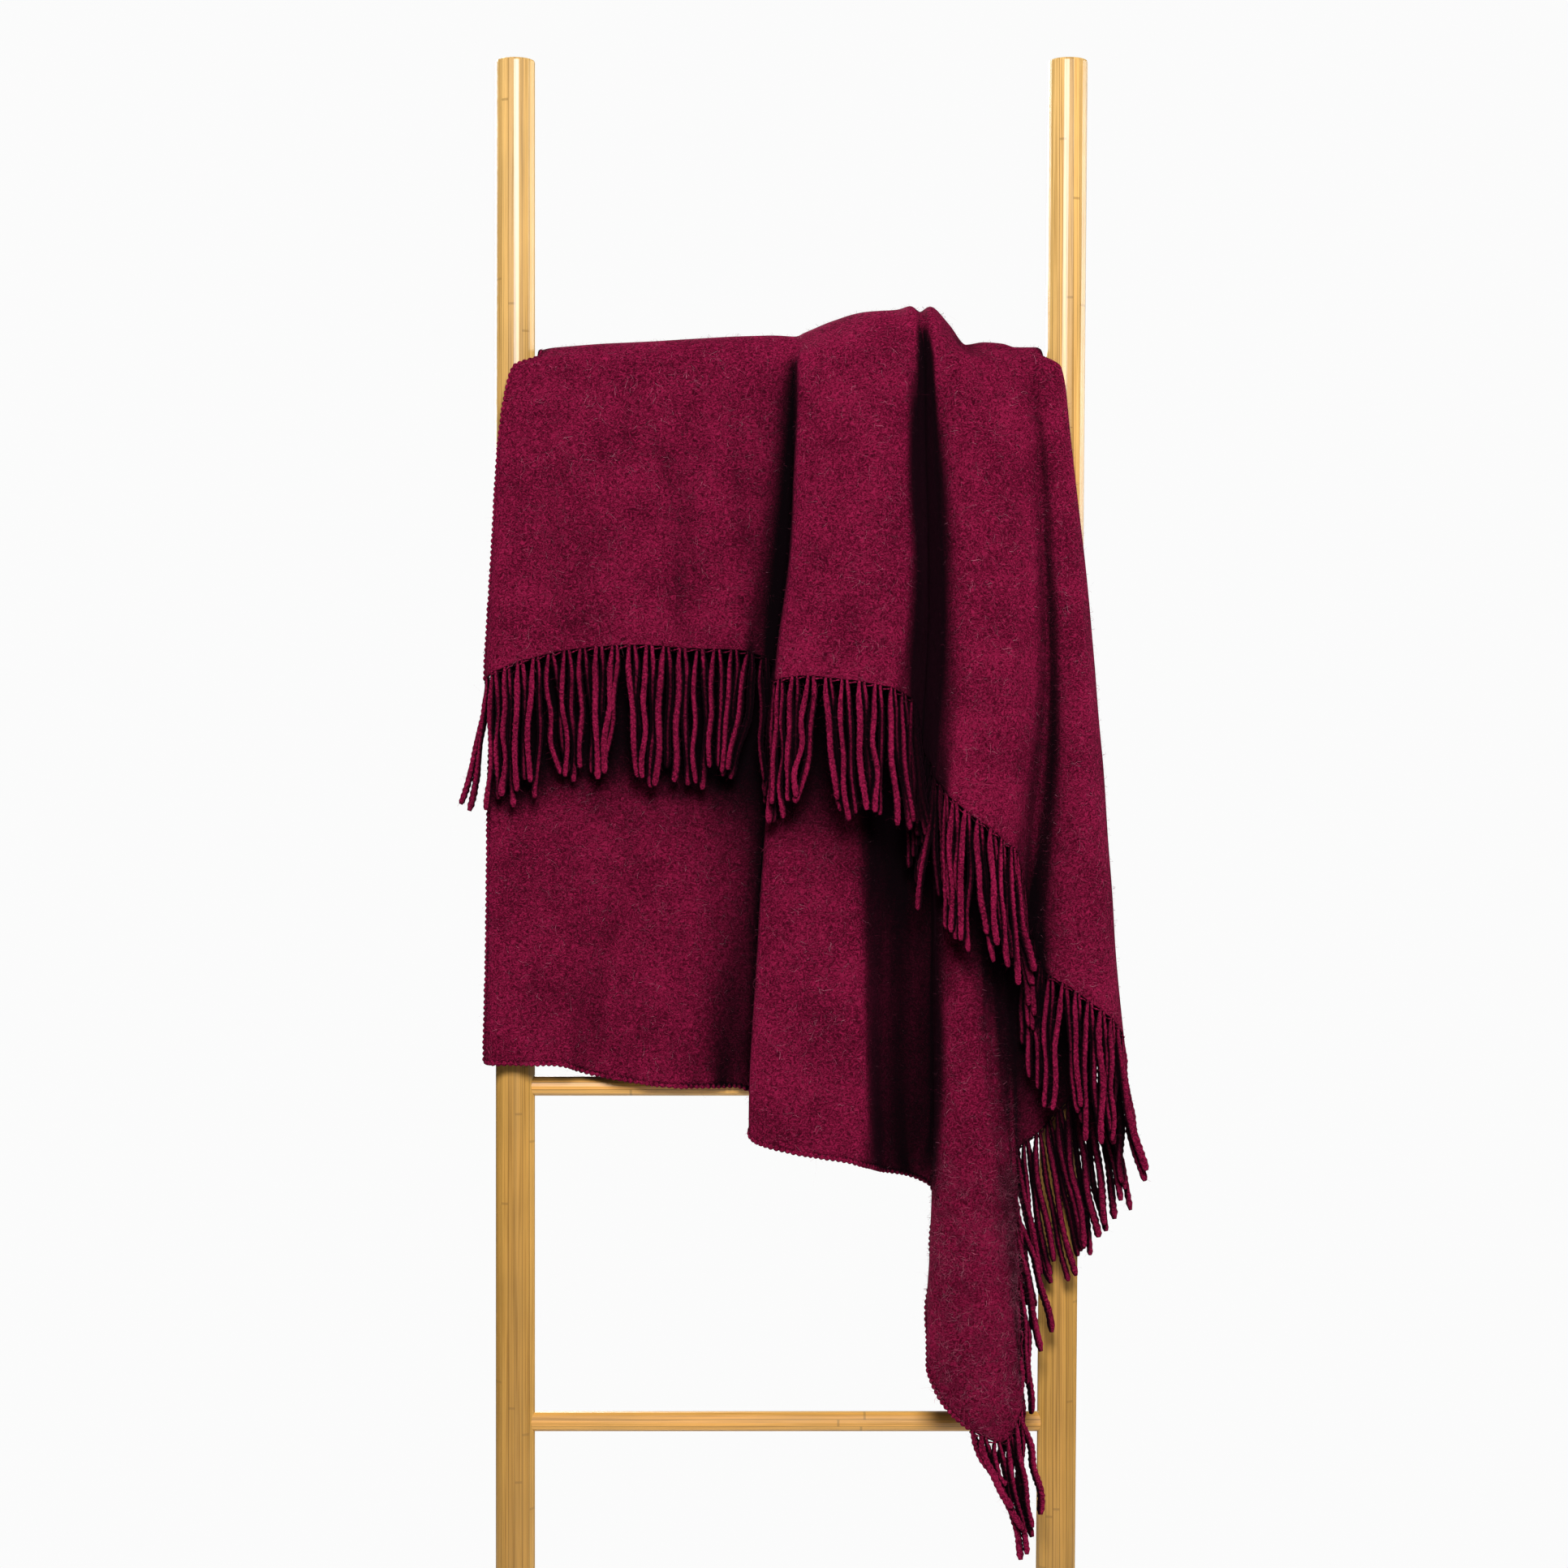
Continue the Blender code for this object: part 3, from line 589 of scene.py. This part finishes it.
FRONT_HANGS = (
    Hang("left edge", -34, 104),
    Hang("left corner", -12, 110),
    Hang("crest 1a", 3, 112),
    Hang("crest 1c", 0, 110),
    Hang("valley 1 to 2", -4, 110),
    Hang("crest 2a", 2, 112),
    Hang("side 2", 4, 112),
    Hang("valley 2 to 3", -2, 104),
    Hang("crest 3a", 5, 106),
    Hang("side 3", 9, 108),
    Hang("rise 4", 3, 106),
    Hang("side 4", 8, 112),
    Hang("right fold", 6, 124),
    Hang("fringed edge 1", 12, 134),
    Hang("fringed edge 2", 18, 122),
    Hang("top of the tail", 20, 106),
    Hang("tail side 1", 8, 108),
    Hang("tail side 2", -12, 98),
    Hang("tail side 3", -4, 92),
    Hang("tail tip", 14, 96),
    Hang("tail crest", 34, 40),
)
BACK_HANGS = (
    Hang("left edge", 2, 98),
    Hang("side A", 0, 98),
)


def lengths_along(line):
    """The distance from a line's start to each of its points."""
    return np.concatenate([[0.0], np.cumsum(np.linalg.norm(np.diff(line, axis=0), axis=1))])


def read_at(at, lengths, bands):
    """The rows of the bands, read between their points at the lengths asked for."""
    return np.array([np.interp(at, lengths, band) for band in bands.T]).T


def edge_directions(edge, facing):
    """The direction along an edge, and the one in the cloth's plane that leads off the edge."""
    tangent = np.gradient(edge, axis=0)
    tangent /= np.linalg.norm(tangent, axis=1, keepdims=True)
    square = np.cross(tangent, facing)
    square /= np.linalg.norm(square, axis=1, keepdims=True)
    if square[0][2] > 0:
        square = -square
    return tangent, square


def edge_points(edge, facing, pitch, drop_share):
    """Roots spaced evenly along an edge, with the directions there and each root's column."""
    steps = np.diff(edge, axis=0)
    spacing = np.hypot(steps[:, 0], steps[:, 1]) + drop_share * np.abs(steps[:, 2])
    lengths = np.concatenate([[0.0], np.cumsum(spacing)])
    tangent, square = edge_directions(edge, facing)
    steepness = np.clip((np.abs(tangent[:, 2:]) - STEEP_FROM) / (1 - STEEP_FROM), 0, 1)
    at = np.linspace(pitch / 2, lengths[-1] - pitch / 2, int(lengths[-1] / pitch))
    column = np.arange(len(edge))[:, None]
    bands = read_at(at, lengths, np.hstack([edge, facing, square, steepness, column]))
    return bands[:, :3], bands[:, 3:6], bands[:, 6:9], bands[:, 9], bands[:, 10]


def clump_shifts(count, pitch, chance):
    """How far each tip is drawn sideways, shared by clumps of neighbours."""
    shifts = []
    while len(shifts) < count:
        members = chance.choice(CLUMP_SIZES)
        drawn = chance.uniform(*CLUMP_DRAW)
        aside = chance.gauss(0.0, CLUMP_SWAY)
        for k in range(members):
            shifts.append(((members - 1) / 2 - k) * pitch * drawn + aside)
    return shifts[:count]


def strand_line(root, outward, along, steepness, number, tip_x, length, chance):
    """The middle line of a hanging strand, with its small waves."""
    q = np.linspace(0, 1, STRAND_SEGMENTS + 1)[:, None]
    reach = length * chance.uniform(*LENGTH_SPREAD)
    lane = steepness * LANE_WIDTH * (1 + number * 2 % LANES)
    lead = (LEAD + lane) * (1 - (1 - q) ** 2)
    behind = BEHIND if number % 2 else 0.0
    paired = PAIR_SHIFT * (1 if number % 2 else -1) * np.maximum(0.0, 1 - 7 * q)
    turn = chance.uniform(0, 2 * pi)
    size = chance.uniform(*WAVE_SIZES)
    waves = chance.uniform(*WAVE_COUNTS)
    free = np.minimum(1, 2 * q)
    wobble = size * (np.sin(turn + 2 * pi * waves * q) - sin(turn)) * free
    depth = 0.6 * size * (np.cos(turn + 2 * pi * waves * 0.8 * q) - cos(turn)) * free
    drop = reach * q * (1 - 0.3 * steepness * (1 - q))
    side = tip_x * q ** chance.uniform(1.0, 2.2) + wobble
    line = root + outward * lead + np.hstack([side, -TIP_FORWARD * q + depth, -drop])
    line += np.array([0.0, behind, 0.0]) * np.minimum(1, 4 * q) - along * paired
    return line


def ring_directions(line, reference):
    """Two directions square to a line at each of its points, for the rings of a tube."""
    ahead = np.gradient(line, axis=0)
    ahead /= np.linalg.norm(ahead, axis=1, keepdims=True)
    side = np.cross(ahead, np.array(reference))
    side /= np.linalg.norm(side, axis=1, keepdims=True)
    return side, np.cross(side, ahead)


def tube_faces(base, rings, sides):
    """The faces of a closed tube, whose rings of points are numbered from base."""
    faces = []
    for k in range(rings - 1):
        low, high = base + k * sides, base + (k + 1) * sides
        for s in range(sides):
            n = (s + 1) % sides
            faces.append((low + s, low + n, high + n, high + s))
    top = base + (rings - 1) * sides
    faces.append(tuple(base + s for s in range(sides))[::-1])
    faces.append(tuple(top + s for s in range(sides)))
    return faces


def twisted_strand(points, faces, line, plump, start_turn):
    """A tube with two low lobes that wind round its middle line, thin at the root, blunt at the tip."""
    side, front = ring_directions(line, (0.0, -1.0, 0.0))
    travel = lengths_along(line)
    base = len(points)
    for k, centre in enumerate(line):
        q = k / (len(line) - 1)
        size = plump * min(1.0, 0.52 + 2.6 * q) * (1 + 0.16 * noise.noise(Vector(centre) * 110))
        if k == len(line) - 1:
            size *= 0.55
        elif k == len(line) - 2:
            size *= 0.9
        turn = start_turn + 2 * pi * travel[k] / TWIST_PITCH
        for s in range(STRAND_SIDES):
            angle = 2 * pi * s / STRAND_SIDES
            radius = STRAND_RADIUS * size * (0.92 + 0.12 * cos(2 * (angle - turn)))
            points.append(centre + radius * (cos(angle) * side[k] + sin(angle) * front[k]))
    faces.extend(tube_faces(base, len(line), STRAND_SIDES))


def fringe(name, edge, facing, pitch, drop_share, hangs, seed, finish):
    """A row of twisted strands that hang from an edge of the cloth."""
    chance = Random(seed)
    roots, front, outward, steepness, columns = edge_points(edge, facing, pitch, drop_share)
    hang_at = [fold_at[hang.fold] for hang in hangs]
    tips = np.interp(columns, hang_at, [hang.tip_x * MM for hang in hangs])
    lengths = np.interp(columns, hang_at, [hang.length * MM for hang in hangs])
    shifts = clump_shifts(len(roots), pitch, chance)
    points, faces = [], []
    for k, root in enumerate(roots):
        tip_x = tips[k] + shifts[k] + chance.uniform(-TIP_JITTER, TIP_JITTER)
        along = np.cross(front[k], outward[k])
        along *= np.sign(along[0]) / np.linalg.norm(along)
        line = strand_line(root, outward[k], along, steepness[k], k, tip_x, lengths[k], chance)
        plump = chance.uniform(*PLUMPNESS)
        twisted_strand(points, faces, line, plump, chance.uniform(0, pi))
    return mesh_object(name, points, faces, finish)


# The strands, selvedge cords and hem threads share this paler wool, with its painted light.
strand_wool = felted_wool("wool_strands", *STRAND_REDS_WITH_PAINTED_LIGHT)
fringe_columns = slice(0, fold_at[FRINGE_END] + 1)
front_edge, front_facing = grid[fringe_columns, 0], normals[fringe_columns, 0]
front_fringe = fringe(
    "front_fringe", front_edge, front_facing, STRAND_PITCH, DROP_SHARE, FRONT_HANGS, 3, strand_wool
)
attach(front_fringe, "root")
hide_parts("fringe_front")

# The fringe on the back hem
# The same twisted warp ends on the opposite end of the cloth. It hangs straight behind the ladder.
BACK_PITCH = 0.0092
back_edge, back_facing = grid[:, -1], normals[:, -1]
back_fringe = fringe(
    "back_fringe", back_edge, back_facing, BACK_PITCH, 0.0, BACK_HANGS, 8, strand_wool
)
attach(back_fringe, "root")
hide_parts("fringe_back")

# The selvedge along the plain edges
# The sides of the cloth end in a thicker lumpy cord, where the weft turns round the last warp
# ends and felts into small beads about 5 mm long.
SELVEDGE_RADIUS = 0.0025
BEAD_LENGTH = 0.0048


def beaded_cord(name, line, radius, bead, sides, finish):
    """A cord along a line whose thickness swells once for each bead."""
    lengths = lengths_along(line)
    at = np.arange(0, lengths[-1], bead / 5)
    line = read_at(at, lengths, line)
    side, front = ring_directions(line, (0.3, -1.0, 0.2))
    points = []
    for k, centre in enumerate(line):
        uneven = 0.8 * noise.noise(Vector((at[k] * 60, 1.0, 5.0)))
        swell = 0.52 + 0.56 * abs(sin(pi * at[k] / bead + uneven))
        swell += 0.14 * noise.noise(Vector((at[k] * 90, 8.0, 2.0)))
        for s in range(sides):
            angle = 2 * pi * s / sides
            points.append(centre + radius * swell * (cos(angle) * side[k] + sin(angle) * front[k]))
    return mesh_object(name, points, tube_faces(0, len(line), sides), finish)


plain_hem = grid[fold_at[FRINGE_END]:, 0]
selvedge_lines = {
    "selvedge_left": grid[0],
    "selvedge_inner_hem": plain_hem,
    "selvedge_inner_side": grid[-1],
}
for name, line in selvedge_lines.items():
    cord = beaded_cord(name, line, SELVEDGE_RADIUS, BEAD_LENGTH, 8, strand_wool)
    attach(cord, "root")

# The last weft thread below each hem
# One thin weft thread runs through the roots of the strands just below the cloth. It holds the
# bundles apart, so small dark slots show between it and the hem.
THREAD_RADIUS = 0.0008
THREAD_BEAD = 0.004
THREAD_DROP = 0.0023
THREAD_WAVE = 0.0009
THREAD_WEAVE = 0.0016


def hem_thread(name, edge, facing, pitch, finish):
    """A thread along an edge that passes in front of and behind the strands in turn."""
    lengths = lengths_along(edge)
    at = np.arange(0, lengths[-1], pitch / 5)
    edge = read_at(at, lengths, edge)
    facing = read_at(at, lengths, facing)
    _, square = edge_directions(edge, facing)
    phase = 2 * pi * at / pitch
    weave = (np.sin(phase) * THREAD_WEAVE)[:, None]
    drop = (THREAD_DROP + THREAD_WAVE * np.cos(phase))[:, None]
    line = edge + square * drop + facing * weave
    return beaded_cord(name, line, THREAD_RADIUS, THREAD_BEAD, 5, finish)


hem_edges = {
    "hem_thread_front": (front_edge, front_facing, STRAND_PITCH * 2),
    "hem_thread_back": (back_edge, back_facing, BACK_PITCH * 2),
}
for name, (edge, facing, pitch) in hem_edges.items():
    thread = hem_thread(name, edge, facing, pitch, strand_wool)
    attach(thread, "root")

# The loose hairs
# Guard hairs in the yarn stand out of the felt all over, singly and in every direction, 4 to 13 mm
# long, and make the folds' edges fuzzy. Most are red, about one in five is pale pink. The tail has
# more of them, and those on the strands are shorter.
RED_HAIRS = 26000
PALE_HAIRS = 7500
STRAND_HAIRS = 16000
TAIL_LEFT, TAIL_TOP, TAIL_SHARE = 0.12, 0.76, 3.5
BACK_SHARE = 0.45
HAIR_SEGMENTS = 3
SHORTEST_HAIR = 0.0035
HAIR_LIFT = 0.0003
LEAST_RISE, MORE_RISE = 0.0004, 0.0026
LEAST_HALF_WIDTH, MORE_HALF_WIDTH = 0.00005, 0.00007


def hair_ribbons(name, starts, outs, seed, longest, finish):
    """Flat ribbons 0.1 to 0.24 mm wide that curve over the surface from their starts."""
    chance = np.random.default_rng(seed)
    count = len(starts)
    aside = chance.normal(size=(count, 3))
    aside -= outs * (aside * outs).sum(axis=1, keepdims=True)
    aside /= np.linalg.norm(aside, axis=1, keepdims=True)
    across = np.cross(outs, aside)
    length = (SHORTEST_HAIR + (longest - SHORTEST_HAIR) * chance.random(count) ** 2.0)[:, None]
    bend = chance.normal(0, 0.85, count)[:, None]
    twist = chance.normal(0, 0.30, count)[:, None]
    rise = (LEAST_RISE + MORE_RISE * chance.random(count) ** 2)[:, None]
    width = (LEAST_HALF_WIDTH + MORE_HALF_WIDTH * chance.random(count) ** 2)[:, None]
    rows = []
    for k in range(HAIR_SEGMENTS + 1):
        q = k / HAIR_SEGMENTS
        middle = starts + outs * (HAIR_LIFT + rise * sin(pi * min(q * 1.15, 1.0)))
        sideways = bend * q**2 + twist * sin(2 * pi * q) * 0.3
        middle = middle + aside * length * q + across * length * sideways
        thin = width * (1.0 - 0.6 * q)
        rows.append(middle - across * thin)
        rows.append(middle + across * thin)
    points = np.stack(rows, axis=1).reshape(-1, 3)
    base = np.arange(count)[:, None] * 2 * (HAIR_SEGMENTS + 1)
    faces = []
    for k in range(HAIR_SEGMENTS):
        corners = np.array([2 * k, 2 * k + 1, 2 * k + 3, 2 * k + 2])
        faces.append(base + corners)
    return mesh_object(name, points, np.vstack(faces).tolist(), finish)


def hair_material(name, dark, bright):
    """Smooth wool fibre in two tones, from one hair to the next, with painted shade deep in the folds.
    """
    made, tree, shader = new_material(name)
    place = add_node(tree, "ShaderNodeTexCoord").outputs["Object"]
    key = add_node(tree, "ShaderNodeTexNoise", {"Vector": place, "Scale": 95.0, "Detail": 1.0})
    colour = ramp(tree, key.outputs["Fac"], (0.35, dark), (0.65, bright))
    tree.links.new(with_painted_fold_shade(tree, colour), shader.inputs["Base Color"])
    shader.inputs["Roughness"].default_value = 0.8
    shader.inputs["Specular IOR Level"].default_value = 0.10
    return made


def surface_starts(count, seed):
    """Starts spread evenly over the cloth's shown faces, with the directions out of it."""
    chance = np.random.default_rng(seed)
    across = np.linalg.norm(np.diff(grid, axis=0), axis=2)[:, :-1]
    down = np.linalg.norm(np.diff(grid, axis=1), axis=2)[:-1]
    area = across * down
    area[:, sum(ROWS_PER_SPAN[:6]):] *= BACK_SHARE
    middle = grid[:-1, :-1]
    on_tail = ~is_outer[:-1, None] & (middle[:, :, 0] > TAIL_LEFT) & (middle[:, :, 2] < TAIL_TOP)
    area[on_tail & (np.arange(area.shape[1]) < rows_in_front)] *= TAIL_SHARE
    picked = chance.choice(area.size, count, p=(area / area.sum()).ravel())
    i, j = np.unravel_index(picked, area.shape)
    u, v = chance.random((2, count, 1))
    near = grid[i, j] * (1 - u) + grid[i + 1, j] * u
    far = grid[i, j + 1] * (1 - u) + grid[i + 1, j + 1] * u
    outs = normals[i, j]
    in_front = j < sum(ROWS_PER_SPAN[:5])
    shown = np.where(in_front, -np.sign(outs[:, 1]), 1.0)
    top = np.abs(outs[:, 2]) > 0.5
    shown = np.where(top, np.sign(outs[:, 2]), shown)
    shown = np.where(in_front | top, shown, np.sign(outs[:, 1]))
    outs = outs * shown[:, None]
    return near * (1 - v) + far * v + outs * CLOTH_THICKNESS / 2, outs


def strand_starts(piece, count, seed):
    """Starts picked from a piece's own points, with the directions out of them."""
    chance = np.random.default_rng(seed)
    picked = chance.integers(0, len(piece.data.vertices), count)
    points = np.zeros(len(piece.data.vertices) * 3)
    outs = np.zeros(len(piece.data.vertices) * 3)
    piece.data.vertices.foreach_get("co", points)
    piece.data.vertex_normals.foreach_get("vector", outs)
    return points.reshape(-1, 3)[picked], outs.reshape(-1, 3)[picked]


red_hair = hair_material("wool_red_hairs", (0.24, 0.016, 0.060), (0.44, 0.060, 0.14))
pale_hair = hair_material("wool_pale_hairs", (0.42, 0.075, 0.16), (0.66, 0.24, 0.33))
hairs = [
    hair_ribbons("red_hairs", *surface_starts(RED_HAIRS, 5), 11, 0.013, red_hair),
    hair_ribbons("pale_hairs", *surface_starts(PALE_HAIRS, 9), 14, 0.011, pale_hair),
    hair_ribbons("strand_hairs", *strand_starts(front_fringe, STRAND_HAIRS, 6), 12, 0.006, red_hair),
]
for piece in hairs:
    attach(piece, "root")

# The floor
# Plain pale floor that lies only under and near the ladder, so the photo's view shows the empty
# light grey-white behind.
FLOOR_NEAR, FLOOR_FAR, FLOOR_HALF_WIDTH = -1.9, 1.35, 1.9
floor_material, floor_tree, floor_shader = new_material("floor_pale")
floor_place = add_node(floor_tree, "ShaderNodeTexCoord").outputs["Object"]
floor_values = {"Vector": floor_place, "Scale": 3.0, "Detail": 3.0}
floor_noise = add_node(floor_tree, "ShaderNodeTexNoise", floor_values)
floor_colour = ramp(
    floor_tree, floor_noise.outputs["Fac"],
    (0.3, (0.80, 0.80, 0.795)),
    (0.7, (0.83, 0.83, 0.825)),
)
floor_tree.links.new(floor_colour, floor_shader.inputs["Base Color"])
floor_shader.inputs["Roughness"].default_value = 0.8
floor = mesh_object(
    "floor",
    [
        (-FLOOR_HALF_WIDTH, FLOOR_NEAR, 0.0),
        (FLOOR_HALF_WIDTH, FLOOR_NEAR, 0.0),
        (FLOOR_HALF_WIDTH, FLOOR_FAR, 0.0),
        (-FLOOR_HALF_WIDTH, FLOOR_FAR, 0.0),
    ],
    [(0, 1, 2, 3)],
    floor_material,
)

# Light
# One soft light in front and above, one behind, a weak one from the right for the sides, a very
# dim surround, and a white background that only the camera sees.
KEY_PLACE, KEY_SIZE, KEY_POWER = (0.10, -2.25, 2.05), 0.8, 74.0
BACK_PLACE, BACK_SIZE, BACK_POWER = (-1.1, 2.7, 2.3), 1.6, 95.0
SIDE_PLACE, SIDE_SIZE, SIDE_POWER = (2.4, 1.3, 1.7), 1.4, 34.0
LIGHTS_AIM = (0.0, 0.0, 1.05)
SURROUND_LEVEL, SEEN_LEVEL = 0.008, 0.962


def add_light(name, place, size, power):
    """A round soft light that faces the throw."""
    data = bpy.data.lights.new(name, "AREA")
    data.shape = "DISK"
    data.size = size
    data.energy = power
    lamp = bpy.data.objects.new(name, data)
    bpy.context.scene.collection.objects.link(lamp)
    lamp.location = place
    lamp.rotation_euler = (Vector(LIGHTS_AIM) - Vector(place)).to_track_quat("-Z", "Y").to_euler()


add_light("key", KEY_PLACE, KEY_SIZE, KEY_POWER)
add_light("back", BACK_PLACE, BACK_SIZE, BACK_POWER)
add_light("side", SIDE_PLACE, SIDE_SIZE, SIDE_POWER)
world = bpy.data.worlds.new("surround")
world.use_nodes = True
bpy.context.scene.world = world
surround = world.node_tree
seen = add_node(surround, "ShaderNodeLightPath").outputs["Is Camera Ray"]
level = calculate(surround, "MULTIPLY_ADD", seen, SEEN_LEVEL, SURROUND_LEVEL)
surround.links.new(level, surround.nodes["Background"].inputs["Strength"])
surround.nodes["Background"].inputs["Color"].default_value = (1.0, 1.0, 1.0, 1.0)
bpy.context.scene.view_settings.view_transform = "Standard"
bpy.context.scene.view_settings.gamma = 0.90

# The camera
# At the photo's viewpoint: straight on, at about the middle of the picture's height.
CAMERA_PLACE = (-0.0057, -2.885, 1.0817)
CAMERA_LENS = 78.27
camera_data = bpy.data.cameras.new("camera")
camera_data.sensor_width = 36.0
camera_data.lens = CAMERA_LENS
camera = bpy.data.objects.new("camera", camera_data)
bpy.context.scene.collection.objects.link(camera)
camera.location = CAMERA_PLACE
camera.rotation_euler = (radians(90), 0.0, 0.0)
bpy.context.scene.camera = camera
